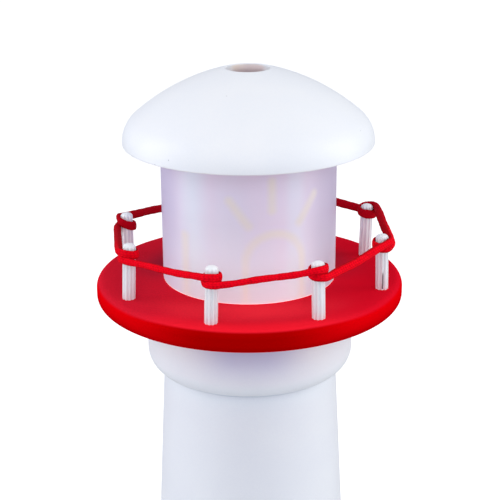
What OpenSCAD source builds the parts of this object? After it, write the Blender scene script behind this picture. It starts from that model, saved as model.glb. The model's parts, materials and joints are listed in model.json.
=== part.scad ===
// Bedside lamp in the form of a lighthouse, in millimetres.
// The lamp stands on z = 0, its axis is Z, and its front faces -Y.

/* [Tower] */
// Height of the turned tower, from its foot to the seam under the collar
tower_h = 204; // [150:1:260]
// Radius of the tower at its foot
tower_foot_r = 66.8; // [62:0.1:76]
// Radius of the tower at the seam
tower_top_r = 56.1; // [52:0.1:60]
// Wall of the tower, measured level
tower_wall = 10; // [8:0.5:12]
// Chamfer round the foot of the tower
foot_chamfer = 1; // [0.5:0.1:2]

/* [Base] */
// Thickness of the felt that the lamp stands on
felt_t = 1.5; // [1:0.1:3]
// How far the felt stays inside the base board
felt_inset = 2; // [1:0.5:5]
// Thickness of the base board
board_t = 9; // [6:0.5:12]
// Width of the tower's rim outside the base board
board_rim = 4.6; // [3.5:0.1:6]

/* [Cable inlet] */
// Height of the inlet above the foot of the tower
inlet_z = 24; // [22:1:60]
// Radius of the hole for the cable
inlet_bore_r = 3.3; // [2.5:0.1:4]
// Radius of the bush's body in the tower wall
inlet_body_r = 4.9; // [4.5:0.1:6]
// Radius of the bush's flange
inlet_flange_r = 7; // [6.5:0.1:9]
// Thickness of the bush's flange
inlet_flange_t = 2; // [1.5:0.1:3]
// Depth of the flat that the flange seats on
inlet_flat_depth = 0.9; // [0.8:0.1:1.5]

/* [Collar] */
// Height of the collar between the seam and the gallery
collar_h = 46.2; // [36:0.1:60]
// Radius of the collar
collar_r = 66.3; // [62:0.1:70]
// Radius of the round that runs in to the seam
collar_round = 13; // [11:0.5:18]
// How far the collar overhangs the tower at the seam
collar_lip = 0.5; // [0.2:0.1:1]
// Thickness of the collar's web under the gallery
web_t = 12; // [8:0.5:18]
// Radius of the hollow under the web
collar_bore_r = 36; // [30:0.5:38]
// How far the ring under the collar reaches into the tower
spigot_h = 10; // [6:0.5:16]

/* [Gallery] */
// Radius of the gallery disc
gallery_r = 97.8; // [94:0.1:110]
// Thickness of the gallery disc
gallery_t = 14.4; // [12.5:0.1:20]
// Round on the disc's edges
gallery_round = 5; // [2:0.1:6]

/* [Posts] */
// Distance from the disc's edge to the middle of the posts
post_inset = 12.2; // [9:0.1:16]
// Radius of a post
post_r = 4; // [3.5:0.1:4.5]
// Height of a post above the gallery
post_h = 35.5; // [34.5:0.5:50]
// Depth of a post's hole in the gallery
post_seat = 10; // [6:0.5:11]
// Number of flutes round a post
flutes = 10; // [8:1:14]
// Depth of a flute
flute_depth = 0.45; // [0.2:0.05:0.6]
// Radius of the cutter that makes a flute
flute_r = 0.8; // [0.5:0.05:1]
// Chamfer on the ends of a post
post_chamfer = 0.9; // [0.5:0.1:1.5]

/* [Rope] */
// Radius of the knitted rope
rope_r = 2.15; // [1.8:0.05:2.2]
// Gap between the rope and a post
rope_gap = 0.15; // [0.1:0.05:0.5]
// How far a span of rope hangs below a straight line
rope_sag = 0.6; // [0:0.1:3]

/* [Shade] */
// Outer radius of the frosted tube
shade_r = 55; // [50:0.5:60]
// Wall of the frosted tube
shade_wall = 3; // [2:0.5:3.5]
// Height of the frosted tube
shade_h = 87.5; // [80:0.5:110]
// Thickness of the printed film inside the tube
film_t = 0.4; // [0.2:0.1:0.6]
// Thickness of the disc that centres the tube
seat_t = 6; // [4:0.5:9]
// Chamfer that leads the tube on to its seat
seat_chamfer = 1; // [0.5:0.1:2]

/* [Dome] */
// Radius of the dome at its edge
dome_r = 78.3; // [72:0.1:88]
// Height of the dome
dome_h = 46.2; // [42:0.1:52]
// Radius of the crown's curve
crown_r = 138; // [125:1:150]
// Radius of the shoulder's curve
shoulder_r = 21; // [17:0.5:24]
// Height of the straight edge under the shoulder
dome_edge = 1; // [0.5:0.1:3]
// Radius of the vent hole
vent_r = 13.5; // [10:0.5:16]
// Round at the mouth of the vent hole
vent_round = 0.8; // [0.4:0.1:1.5]
// Thickness of the dome's roof
dome_roof = 13; // [9:0.5:15]
// Radius of the hollow under the dome
dome_hollow_r = 43; // [38:0.5:44]
// Height of the ring that centres the dome in the tube
ring_h = 6; // [4:0.5:9]

/* [Lamp pipe] */
// Radius of the threaded pipe
pipe_r = 5; // [4.5:0.1:5.5]
// Wall of the threaded pipe
pipe_wall = 1.2; // [0.8:0.1:1.5]
// How far the pipe shows below its lower nut
pipe_tail = 3; // [1:0.5:8]
// How far the pipe reaches into the lampholder
pipe_entry = 8; // [6:0.5:8.5]
// Radius over the nuts' corners
nut_r = 8.1; // [7.5:0.1:9]
// Thickness of a nut
nut_t = 4; // [3:0.5:5]
// Radius of a washer
washer_r = 10; // [9:0.5:12]
// Thickness of a washer
washer_t = 1.5; // [1:0.1:2]

/* [Lampholder] */
// Outer radius of the lampholder
holder_r = 14; // [13:0.1:16]
// Wall of the lampholder
holder_wall = 1.8; // [1.5:0.1:2.2]
// Height of the lampholder's lower half
holder_base_h = 15; // [15:0.5:18]
// Thickness of the lampholder's floor
holder_floor = 3; // [2.5:0.1:4]
// Wall of the lampholder's neck round the pipe
holder_neck_wall = 3; // [2:0.1:4]
// How far the lock screw's end is sunk in the lampholder's side
lock_sink = 0.5; // [0:0.1:1]
// Thickness of the ceramic core
core_t = 4; // [3:0.5:6]
// Room on the core for the springy contact under the bulb
contact_room = 2.6; // [2.2:0.1:4]
// Wall of the brass sleeve that takes the bulb's cap
sleeve_wall = 0.5; // [0.4:0.1:0.8]

/* [Bulb] */
// Radius of the bulb's cap
cap_r = 6.9; // [6.5:0.05:7]
// Length of the bulb's cap below its neck
cap_l = 18.5; // [17:0.5:21]
// Radius of the opal globe
globe_r = 22.5; // [20:0.5:24]
// Height of the bulb's neck under the globe
neck_h = 14; // [12:0.5:16]
// Wall of the opal globe
globe_wall = 1; // [0.8:0.1:1.5]
// Thickness of the board that carries the light sources
led_board_t = 1.2; // [1:0.1:2]

/* [Fasteners] */
// Radius of a wood screw's shank
screw_r = 1.5; // [1.2:0.05:1.6]
// Radius of a wood screw's head
screw_head_r = 2.9; // [2.4:0.1:3]
// Length of the base board's screws
base_screw_l = 25; // [20:1:30]
// Length of the screws that hold the gallery to the collar
gallery_screw_l = 22; // [20:1:23]
// Distance of those screws from the collar's wall
gallery_screw_inset = 11; // [8:0.5:14]
// Length of the screws that hold the tube's seat
seat_screw_l = 15; // [12:1:16]
// Distance of those screws from the seat's edge
seat_screw_inset = 14.5; // [8:0.5:20]
// Length of the screws that hold the dome's ring
ring_screw_l = 15; // [12:1:18]

/* [Fits] */
// Gap between a piece and the place that it is glued or laid in
lay_gap = 0.2; // [0.1:0.05:0.3]
// Gap round a screw's shank and a post in its hole
hole_gap = 0.05; // [0.03:0.01:0.1]
// Gap between the film and the wood that it slides over
slide_gap = 0.5; // [0.4:0.1:0.8]
// Gap between the bulb's cap and the sleeve
cap_gap = 0.3; // [0.25:0.05:0.4]

/* [Hidden] */

// Fineness of round parts
$fn = 96;
fine_fn = 160;
small_fn = 32;
// Steps along an arc in an outline
arc_steps = 10;
crown_steps = 20;
// A cutter reaches this far past what it cuts
over = 1;

// Levels of the stack, from the table up
tower_z = felt_t;
board_z = tower_z + board_t;
seam_z = tower_z + tower_h;
gallery_z = seam_z + collar_h;
floor_z = gallery_z + gallery_t;
seat_z = floor_z + seat_t;
dome_z = floor_z + shade_h;
web_z = gallery_z - web_t;

// Radii that follow from the driving sizes
board_r = tower_foot_r - board_rim;
spigot_r = tower_top_r - tower_wall - lay_gap;
pipe_hole_r = pipe_r + lay_gap;
shade_in_r = shade_r - shade_wall;
film_r = shade_in_r - hole_gap;
inner_wood_r = film_r - film_t - slide_gap;
screw_hole_r = screw_r + hole_gap;

// Radii of the circles that the screws stand on
base_screw_circle_r = (board_r + tower_radius(board_z) - tower_wall) / 2;
gallery_screw_circle_r = collar_bore_r - gallery_screw_inset;
seat_screw_circle_r = inner_wood_r - seat_screw_inset;
ring_screw_circle_r = (dome_hollow_r + inner_wood_r) / 2;

// Levels of the lampholder and the bulb
upper_nut_z = seat_z + washer_t;
holder_z = upper_nut_z + nut_t;
core_z = holder_z + holder_base_h;
pipe_low_z = web_z - washer_t - nut_t - pipe_tail;
pipe_high_z = holder_z + pipe_entry;
sleeve_in_r = cap_r + cap_gap;
sleeve_r = sleeve_in_r + sleeve_wall;
contact_t = 0.6;
insulator_h = 2.5;
tip_h = 1.6;
tip_r = 2.4;
led_board_inset = 4;
tip_low_z = core_z + core_t + contact_room;
cap_low_z = tip_low_z + tip_h + insulator_h;
holder_top_z = cap_low_z + cap_l;
neck_z = holder_top_z + cap_gap;
globe_cut_z = neck_z + neck_h;
globe_cut_inset = 2.2;
globe_cut_r = globe_r - globe_cut_inset;
globe_z = globe_cut_z + sqrt(globe_r * globe_r - globe_cut_r * globe_cut_r);

// Where each post stands: the circle's radius, how far in from the circle the post was drilled,
// degrees round from the front towards +X, and degrees of lean towards +X
post_circle_r = gallery_r - post_inset;
post_drift = [0.3, 0, -0.8, -1.5, 1.7, 0, 0, 4.3];
post_angles = [-59.9, -15.3, 28, 70.9, 113.5, 161, 209, 257.2];
post_lean = [2.4, 1.7, -1.2, -1.1, 1.5, 0, 0, 0];

// The rope's way round the posts: the post of each visit, and the shares of a post's height at
// which the rope comes in there and leaves
visits = [5, 6, 7, 0, 1, 2, 3, 4, 5];
rope_in = [0.5, 0.46, 0.88, 0.91, 0.885, 0.93, 0.92, 0.96, 0.9];
rope_out = [0.54, 0.64, 0.69, 0.7, 0.7, 0.74, 0.73, 0.775, 0.76];
rope_first_wrap = 200;
rope_last_wrap = 200;
rope_tail = 8;
rings_per_turn = 24;
span_rings = 6;
rope_sides = 6;

// The radius of the tower's outside at a level
function tower_radius(z) = tower_foot_r + (tower_top_r - tower_foot_r) * (z - tower_z) / tower_h;

// Points along an arc
function arc(centre, r, from, to, steps = arc_steps) =
    [for (i = [0:steps]) let (a = from + (to - from) * i / steps) centre + r * [cos(a), sin(a)]];

// The centre of the crown's curve, which touches the shoulder's curve and meets the vent's mouth
shoulder_centre = [dome_r - shoulder_r, dome_edge];
vent_mouth = [vent_r, dome_h];
function crown_centre() =
    let (
        way = vent_mouth - shoulder_centre,
        d = norm(way),
        to_shoulder = crown_r - shoulder_r,
        along = (d * d + to_shoulder * to_shoulder - crown_r * crown_r) / (2 * d),
        across = sqrt(to_shoulder * to_shoulder - along * along),
        unit = way / d
    ) shoulder_centre + along * unit + across * [unit.y, -unit.x] * (unit.x < 0 ? -1 : 1);

// Countersunk wood screw with its head's face on z = 0 and its point below
module wood_screw(length) {
    head_h = screw_head_r - screw_r;
    point_h = 3;
    slot_w = 0.7;
    slot_l = 3;
    slot_h = 1;
    difference() {
        rotate_extrude($fn = small_fn)
            polygon([
                [0, 0], [screw_head_r, 0], [screw_r, -head_h],
                [screw_r, point_h - length], [0, -length]
            ]);
        for (turn = [0, 90])
            rotate(turn)
                translate([-slot_l / 2, -slot_w / 2, -slot_h])
                    cube([slot_l, slot_w, slot_h + over]);
    }
}

// Hole that takes a countersunk screw, its mouth on z = 0
module screw_hole(length) {
    head_h = screw_head_r - screw_r;
    rotate_extrude($fn = small_fn)
        polygon([
            [0, over], [screw_head_r + hole_gap, over], [screw_head_r + hole_gap, 0],
            [screw_hole_r, -head_h - hole_gap], [screw_hole_r, -length], [0, -length]
        ]);
}

// Copies of a piece, spread evenly on a circle
module on_circle(count, r, z, start = 0) {
    for (i = [0:count - 1])
        rotate(start + 360 * i / count)
            translate([r, 0, z])
                children();
}

// Tube on the lamp's axis
module tube(outer_r, inner_r, z, height) {
    translate([0, 0, z])
        difference() {
            cylinder(r = outer_r, h = height);
            translate([0, 0, -over])
                cylinder(r = inner_r, h = height + 2 * over);
        }
}

// Turned tower with a rebate for the base board and a flat for the cable bush
module tower_shell() {
    rebate_r = board_r + lay_gap;
    flat_y = tower_radius(tower_z + inlet_z) - inlet_flat_depth;
    color("white")
        difference() {
            rotate_extrude($fn = fine_fn)
                polygon([
                    [rebate_r, tower_z], [tower_foot_r - foot_chamfer, tower_z],
                    [tower_radius(tower_z + foot_chamfer), tower_z + foot_chamfer],
                    [tower_top_r, seam_z], [tower_top_r - tower_wall, seam_z],
                    [tower_radius(board_z) - tower_wall, board_z], [rebate_r, board_z]
                ]);
            on_circle(4, base_screw_circle_r, tower_z, 45)
                mirror([0, 0, 1])
                    cylinder_down(screw_hole_r, base_screw_l + over);
            translate([0, 0, tower_z + inlet_z])
                rotate([-90, 0, 0]) {
                    cylinder(r = inlet_body_r + hole_gap, h = tower_foot_r + over);
                    translate([0, 0, flat_y])
                        cylinder(r = inlet_flange_r + lay_gap, h = tower_wall);
                }
        }
}

// Round cutter that hangs below its origin
module cylinder_down(r, h) {
    translate([0, 0, -h])
        cylinder(r = r, h = h, $fn = small_fn);
}

// Board that closes the tower's foot
module base_board() {
    color("burlywood")
        difference() {
            translate([0, 0, tower_z])
                cylinder(r = board_r, h = board_t);
            on_circle(4, base_screw_circle_r, tower_z, 45)
                mirror([0, 0, 1])
                    screw_hole(board_t + over);
        }
}

// Screws that hold the base board, driven from below
module base_screws() {
    color("silver")
        on_circle(4, base_screw_circle_r, tower_z, 45)
            mirror([0, 0, 1])
                wood_screw(base_screw_l);
}

// Felt under the base board
module base_felt() {
    color("dimgray")
        cylinder(r = board_r - felt_inset, h = felt_t);
}

// Flanged bush in the back of the tower, where the cable enters
module cable_bush() {
    flat_y = tower_radius(tower_z + inlet_z) - inlet_flat_depth;
    color("white")
        translate([0, flat_y, tower_z + inlet_z])
            rotate([-90, 0, 0])
                difference() {
                    union() {
                        translate([0, 0, -tower_wall])
                            cylinder(r = inlet_body_r, h = tower_wall, $fn = small_fn);
                        cylinder(r = inlet_flange_r, h = inlet_flange_t, $fn = small_fn);
                    }
                    translate([0, 0, -tower_wall - over])
                        cylinder(r = inlet_bore_r, h = tower_wall + inlet_flange_t + 2 * over);
                }
}

// Turned collar with a web that the pipe clamps
module collar() {
    lip_r = tower_top_r + collar_lip;
    sweep = acos(1 - (collar_r - lip_r) / collar_round);
    round_z = seam_z + collar_round * sin(sweep);
    color("white")
        difference() {
            rotate_extrude($fn = fine_fn)
                polygon(concat(
                    [[pipe_hole_r, gallery_z], [collar_r, gallery_z]],
                    arc([collar_r - collar_round, round_z], collar_round, 0, -sweep),
                    [[collar_bore_r, seam_z], [collar_bore_r, web_z], [pipe_hole_r, web_z]]
                ));
            on_circle(3, gallery_screw_circle_r, web_z, 30)
                mirror([0, 0, 1])
                    screw_hole(web_t + over);
        }
}

// Ring glued under the collar, which centres it in the tower
module spigot_ring() {
    color("burlywood")
        tube(spigot_r, collar_bore_r, seam_z - spigot_h, spigot_h);
}

// Round gallery with rounded edges, and holes for the posts and screws
module gallery_disc() {
    edge_r = gallery_r - gallery_round;
    color("crimson")
        difference() {
            rotate_extrude($fn = fine_fn)
                polygon(concat(
                    [[pipe_hole_r, gallery_z]],
                    arc([edge_r, gallery_z + gallery_round], gallery_round, -90, 0),
                    arc([edge_r, floor_z - gallery_round], gallery_round, 0, 90),
                    [[pipe_hole_r, floor_z]]
                ));
            for (i = [0:len(post_angles) - 1])
                translate([post_at(i).x, post_at(i).y, floor_z])
                    rotate([0, post_lean[i], 0])
                        translate([0, 0, -post_seat - lay_gap])
                            cylinder(r = post_r + hole_gap, h = post_seat + lay_gap + over, $fn = small_fn);
            on_circle(3, gallery_screw_circle_r, gallery_z, 30)
                mirror([0, 0, 1])
                    translate([0, 0, over])
                        cylinder_down(screw_hole_r, gallery_screw_l - web_t + 2 * over);
            on_circle(3, seat_screw_circle_r, floor_z + over, -30)
                cylinder_down(screw_hole_r, seat_screw_l - seat_t + 2 * over);
        }
}

// Screws that hold the gallery to the collar, driven from below
module gallery_screws() {
    color("silver")
        on_circle(3, gallery_screw_circle_r, web_z, 30)
            mirror([0, 0, 1])
                wood_screw(gallery_screw_l);
}

// The place of a post's axis at a height above the gallery
function post_at(i, up = 0) =
    (post_circle_r - post_drift[i]) * [sin(post_angles[i]), -cos(post_angles[i])]
    + [up * tan(post_lean[i]), 0];

// Fluted dowel with chamfered ends
module post(i) {
    length = post_h + post_seat;
    color("whitesmoke")
        translate([post_at(i).x, post_at(i).y, floor_z])
            rotate([0, post_lean[i], 0])
                translate([0, 0, -post_seat])
                    rotate(post_angles[i])
                        intersection() {
                            linear_extrude(height = length)
                                difference() {
                                    circle(r = post_r, $fn = 48);
                                    for (k = [0:flutes - 1])
                                        rotate(360 * k / flutes)
                                            translate([0, -post_r - flute_r + flute_depth])
                                                circle(r = flute_r, $fn = 16);
                                }
                            rotate_extrude($fn = 48)
                                polygon([
                                    [0, 0], [post_r - post_chamfer, 0], [post_r, post_chamfer],
                                    [post_r, length - post_chamfer], [post_r - post_chamfer, length],
                                    [0, length]
                                ]);
                        }
}

// The angle of the outward side of the span from one visit to the next
function span_angle(k) =
    let (way = post_at(visits[k + 1]) - post_at(visits[k])) atan2(way.y, way.x) - 90;

// The radius of the rope's middle line round a post
rope_wind_r = post_r + rope_gap + rope_r;

// A turn of rope round the post of a visit, anticlockwise seen from above
function turn(k, from, wrap) =
    let (steps = round(rings_per_turn * wrap / 360))
    [for (i = [0:steps])
        let (
            a = from + wrap * i / steps,
            up = post_h * (rope_in[k] + (rope_out[k] - rope_in[k]) * i / steps),
            c = post_at(visits[k], up)
        )
        [c.x + rope_wind_r * cos(a), c.y + rope_wind_r * sin(a), floor_z + up]];

// A span of rope between two points, without its ends
function span(a, b) =
    [for (i = [1:span_rings - 1])
        let (t = i / span_rings) a + (b - a) * t - [0, 0, 4 * rope_sag * t * (1 - t)]];

// The angle in a full turn that leads from one angle to another
function turn_to(from, to) = (to - from) - 360 * floor((to - from) / 360);

last_visit = len(visits) - 1;
rope_turns = [for (k = [0:last_visit])
    k == 0 ? turn(k, span_angle(0) - rope_first_wrap, rope_first_wrap)
    : k == last_visit ? turn(k, span_angle(k - 1), rope_last_wrap)
    : turn(k, span_angle(k - 1), 360 + turn_to(span_angle(k - 1), span_angle(k)))];

// A straight end of the rope, along the tangent at an angle
function tail(point, angle, way) = point + way * rope_tail * [-sin(angle), cos(angle), 0];

first_point = rope_turns[0][0];
last_point = rope_turns[last_visit][len(rope_turns[last_visit]) - 1];
rope_route = concat(
    [tail(first_point, span_angle(0) - rope_first_wrap, -1)],
    [for (k = [0:last_visit]) each concat(
        rope_turns[k],
        k == last_visit ? []
        : span(rope_turns[k][len(rope_turns[k]) - 1], rope_turns[k + 1][0])
    )],
    [tail(last_point, span_angle(last_visit - 1) + rope_last_wrap, 1)]
);

// The least gap of the rope to itself, between points more than a quarter turn apart
apart = rings_per_turn / 4;
rope_least_gap = min([for (i = [0:len(rope_route) - apart - 2])
    min([for (j = [i + apart:len(rope_route) - 1]) norm(rope_route[i] - rope_route[j])])])
    - 2 * rope_r;
function route_length(points) =
    let (steps = [for (i = [1:len(points) - 1]) norm(points[i] - points[i - 1])])
    steps * [for (s = steps) 1];

// Unbroken tube swept along points, its sides kept level
module sweep_tube(points, r, sides) {
    last = len(points) - 1;
    rings = [for (i = [0:last])
        let (
            way = points[min(i + 1, last)] - points[max(i - 1, 0)],
            t = way / norm(way),
            level = cross(t, [0, 0, 1]),
            side = level / norm(level),
            up = cross(side, t)
        )
        each [for (s = [0:sides - 1])
            let (a = 360 * (s + 0.5) / sides) points[i] + r * (cos(a) * side + sin(a) * up)]];
    walls = [for (i = [0:last - 1], s = [0:sides - 1])
        let (a = i * sides + s, b = i * sides + (s + 1) % sides)
        each [[a, b, b + sides], [a, b + sides, a + sides]]];
    first_cap = [for (s = [1:sides - 2]) [0, s + 1, s]];
    last_cap = [for (s = [1:sides - 2]) last * sides * [1, 1, 1] + [0, s, s + 1]];
    polyhedron(points = rings, faces = concat(walls, first_cap, last_cap));
}

// Knitted rope that runs once round each post
module rope() {
    echo(rope_least_gap = rope_least_gap, rope_length = route_length(rope_route));
    color("red")
        sweep_tube(rope_route, rope_r, rope_sides);
}

// Disc on the gallery that centres the frosted tube
module shade_seat() {
    color("burlywood")
        difference() {
            rotate_extrude()
                polygon([
                    [pipe_hole_r, floor_z], [inner_wood_r, floor_z],
                    [inner_wood_r, seat_z - seat_chamfer], [inner_wood_r - seat_chamfer, seat_z],
                    [pipe_hole_r, seat_z]
                ]);
            on_circle(3, seat_screw_circle_r, seat_z, -30)
                screw_hole(seat_t + over);
        }
}

// Screws that hold the tube's seat
module seat_screws() {
    color("silver")
        on_circle(3, seat_screw_circle_r, seat_z, -30)
            wood_screw(seat_screw_l);
}

// Threaded pipe that clamps the stack and carries the lampholder
module lamp_pipe() {
    color("goldenrod")
        tube(pipe_r, pipe_r - pipe_wall, pipe_low_z, pipe_high_z - pipe_low_z);
}

// Washer on the pipe
module washer(z) {
    color("silver")
        tube(washer_r, pipe_r + hole_gap, z, washer_t);
}

// Six-sided nut on the pipe
module nut(z) {
    color("silver")
        translate([0, 0, z])
            difference() {
                cylinder(r = nut_r, h = nut_t, $fn = 6);
                translate([0, 0, -over])
                    cylinder(r = pipe_r + hole_gap, h = nut_t + 2 * over);
            }
}

// Lower half of the lampholder, a cup that screws on to the pipe
module holder_base() {
    color("ivory")
        difference() {
            union() {
                tube(holder_r, holder_r - holder_wall, holder_z, holder_base_h);
                tube(holder_r, pipe_r + hole_gap, holder_z, holder_floor);
                tube(pipe_r + holder_neck_wall, pipe_r + hole_gap, holder_z, pipe_entry);
            }
            lock_screw_way(screw_r + hole_gap, pipe_r, holder_r + over);
        }
}

// Round solid that lies across the lampholder's neck, where the lock screw goes
module lock_screw_way(r, from, to) {
    translate([0, 0, holder_z + (holder_floor + pipe_entry) / 2])
        rotate([0, 90, 0])
            translate([0, 0, from])
                cylinder(r = r, h = to - from, $fn = small_fn);
}

// Screw that stops the lampholder turning on the pipe
module lock_screw() {
    color("silver")
        lock_screw_way(screw_r, pipe_r + hole_gap, holder_r - lock_sink);
}

// Brass blocks under the core that take the wires, and their screws
terminal_size = [4, 6, 5];
terminal_gap = 1;
terminal_x = holder_r - holder_wall - terminal_size.x - terminal_gap;
terminal_screw_r = 1.2;
terminal_screw_depth = 3;
terminal_screw_head = 1;
module terminals() {
    color("gold")
        for (side = [90, 270])
            rotate(side)
                translate([terminal_x, -terminal_size.y / 2, core_z - terminal_size.z])
                    difference() {
                        cube(terminal_size);
                        translate([terminal_size.x / 2, terminal_size.y / 2, -over])
                            cylinder(
                                r = terminal_screw_r + hole_gap, h = terminal_screw_depth + over,
                                $fn = small_fn
                            );
                    }
}

// Screws in the terminals
module terminal_screws() {
    low_z = core_z - terminal_size.z - terminal_screw_head;
    color("silver")
        on_circle(2, terminal_x + terminal_size.x / 2, low_z, 90)
            cylinder(r = terminal_screw_r, h = terminal_screw_head + terminal_screw_depth, $fn = small_fn);
}

// Ceramic core that carries the contacts
module holder_core() {
    wire_hole_r = 1.2;
    color("white")
        tube(holder_r - holder_wall - lay_gap, wire_hole_r, core_z, core_t);
}

// Springy strip that meets the tip of the bulb
module centre_contact() {
    foot_l = 5;
    foot_z = core_z + core_t;
    strip_w = 3;
    top_z = tip_low_z - contact_t;
    color("gold")
        rotate([90, 0, 0])
            translate([0, 0, -strip_w / 2])
                linear_extrude(height = strip_w)
                    polygon([
                        [-foot_l, foot_z], [0, foot_z], [0, foot_z + contact_t],
                        [-foot_l + contact_t, foot_z + contact_t],
                        [-foot_l + contact_t, top_z - contact_t], [tip_r, top_z],
                        [tip_r, top_z + contact_t], [-tip_r, top_z + contact_t],
                        [-foot_l, top_z - contact_t]
                    ]);
}

// Brass sleeve that takes the bulb's cap
module thread_sleeve() {
    z = core_z + core_t;
    color("gold")
        tube(sleeve_r, sleeve_in_r, z, holder_top_z - holder_wall - z);
}

// Upper half of the lampholder, with its rim round the cap
module holder_skirt() {
    color("ivory")
        difference() {
            translate([0, 0, core_z])
                cylinder(r = holder_r, h = holder_top_z - core_z);
            translate([0, 0, core_z - over])
                cylinder(r = holder_r - holder_wall, h = holder_top_z - core_z - holder_wall + over);
            translate([0, 0, core_z])
                cylinder(r = sleeve_in_r, h = holder_top_z - core_z + over);
        }
}

// Solder tip at the bottom of the bulb
module bulb_tip() {
    color("silver")
        translate([0, 0, tip_low_z])
            cylinder(r = tip_r, h = tip_h, $fn = small_fn);
}

// Black insulator between the tip and the cap
module bulb_insulator() {
    color("black")
        translate([0, 0, tip_low_z + tip_h])
            cylinder(r1 = tip_r + 1, r2 = cap_r - 0.4, h = insulator_h);
}

// Metal cap that screws into the sleeve
module bulb_cap() {
    color("silver")
        translate([0, 0, cap_low_z])
            cylinder(r = cap_r, h = neck_z - cap_low_z);
}

// Flared neck under the globe
module bulb_neck() {
    color("white")
        difference() {
            rotate_extrude()
                polygon([
                    [0, neck_z], [cap_r + 1.2, neck_z], [cap_r + 2, neck_z + 2],
                    [globe_cut_r, globe_cut_z], [0, globe_cut_z]
                ]);
            translate([0, 0, globe_cut_z - led_board_t])
                cylinder(r = globe_cut_r - led_board_inset, h = led_board_t + over);
        }
}

// Opal globe
module bulb_globe() {
    color("white")
        difference() {
            intersection() {
                translate([0, 0, globe_z])
                    sphere(r = globe_r);
                translate([0, 0, globe_cut_z])
                    cylinder(r = globe_r + over, h = 2 * globe_r);
            }
            translate([0, 0, globe_z])
                sphere(r = globe_r - globe_wall);
        }
}

// Board inside the globe
module led_board() {
    color("aliceblue")
        translate([0, 0, globe_cut_z - led_board_t])
            cylinder(r = globe_cut_r - led_board_inset - lay_gap, h = led_board_t);
}

// Light sources on the board
module led_chips() {
    chip = 2.8;
    chip_t = 0.8;
    chip_circle_r = 10;
    color("khaki")
        on_circle(6, chip_circle_r, globe_cut_z)
            translate([-chip / 2, -chip / 2, 0])
                cube([chip, chip, chip_t]);
}

// Frosted tube that stands on the gallery
module shade_tube() {
    color("lavender")
        difference() {
            translate([0, 0, floor_z])
                cylinder(r = shade_r, h = shade_h, $fn = fine_fn);
            translate([0, 0, floor_z - over])
                cylinder(r = shade_in_r, h = shade_h + 2 * over, $fn = fine_fn);
        }
}

// Thin film with the picture, laid inside the tube
module picture_film() {
    color("bisque")
        difference() {
            translate([0, 0, floor_z + lay_gap])
                cylinder(r = film_r, h = shade_h - 2 * lay_gap, $fn = fine_fn);
            translate([0, 0, floor_z])
                cylinder(r = film_r - film_t, h = shade_h, $fn = fine_fn);
        }
}

// Turned dome, hollow below, with a vent hole in its crown
module dome() {
    centre = crown_centre();
    junction = atan2(shoulder_centre.y - centre.y, shoulder_centre.x - centre.x);
    vent_out_r = vent_r + vent_round;
    crown_top = acos((vent_out_r - centre.x) / crown_r);
    roof_r = crown_r - dome_roof;
    roof_low = acos((dome_hollow_r - centre.x) / roof_r);
    roof_high = acos((vent_r - centre.x) / roof_r);
    mouth_z = centre.y + crown_r * sin(crown_top) - vent_round;
    color("white")
        translate([0, 0, dome_z])
            difference() {
                rotate_extrude($fn = fine_fn)
                    polygon(concat(
                        [[dome_hollow_r, 0], [dome_r - dome_edge / 2, 0], [dome_r, dome_edge / 2]],
                        arc(shoulder_centre, shoulder_r, 0, junction),
                        arc(centre, crown_r, junction, crown_top, crown_steps),
                        [[vent_r, mouth_z]],
                        arc(centre, roof_r, roof_high, roof_low)
                    ));
                on_circle(3, ring_screw_circle_r, -over, 90)
                    mirror([0, 0, 1])
                        cylinder_down(screw_hole_r, ring_screw_l - ring_h + 2 * over);
            }
}

// Ring under the dome that centres it in the frosted tube
module dome_ring() {
    color("burlywood")
        difference() {
            tube(inner_wood_r, dome_hollow_r, dome_z - ring_h, ring_h);
            on_circle(3, ring_screw_circle_r, dome_z - ring_h, 90)
                mirror([0, 0, 1])
                    screw_hole(ring_h + over);
        }
}

// Screws that hold the ring to the dome
module ring_screws() {
    color("silver")
        on_circle(3, ring_screw_circle_r, dome_z - ring_h, 90)
            mirror([0, 0, 1])
                wood_screw(ring_screw_l);
}

tower_shell();
base_board();
base_screws();
base_felt();
cable_bush();
collar();
spigot_ring();
gallery_disc();
gallery_screws();
for (i = [1:8]) post(i - 1);
rope();
shade_seat();
seat_screws();
lamp_pipe();
washer(web_z - washer_t);  // lower_washer
nut(web_z - washer_t - nut_t);  // lower_nut
washer(seat_z);  // upper_washer
nut(upper_nut_z);  // upper_nut
holder_base();
lock_screw();
terminals();
terminal_screws();
holder_core();
centre_contact();
thread_sleeve();
holder_skirt();
bulb_tip();
bulb_insulator();
bulb_cap();
bulb_neck();
bulb_globe();
led_board();
led_chips();
shade_tube();
picture_film();
dome();
dome_ring();
ring_screws();
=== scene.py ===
"""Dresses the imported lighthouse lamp: its visible pieces, their finishes, the camera and the light."""

import json
import logging
import math
from collections.abc import Callable
from dataclasses import dataclass, field, replace
from enum import Enum

import bmesh
import bpy
import numpy as np
from mathutils import Matrix, Quaternion, Vector


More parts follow.
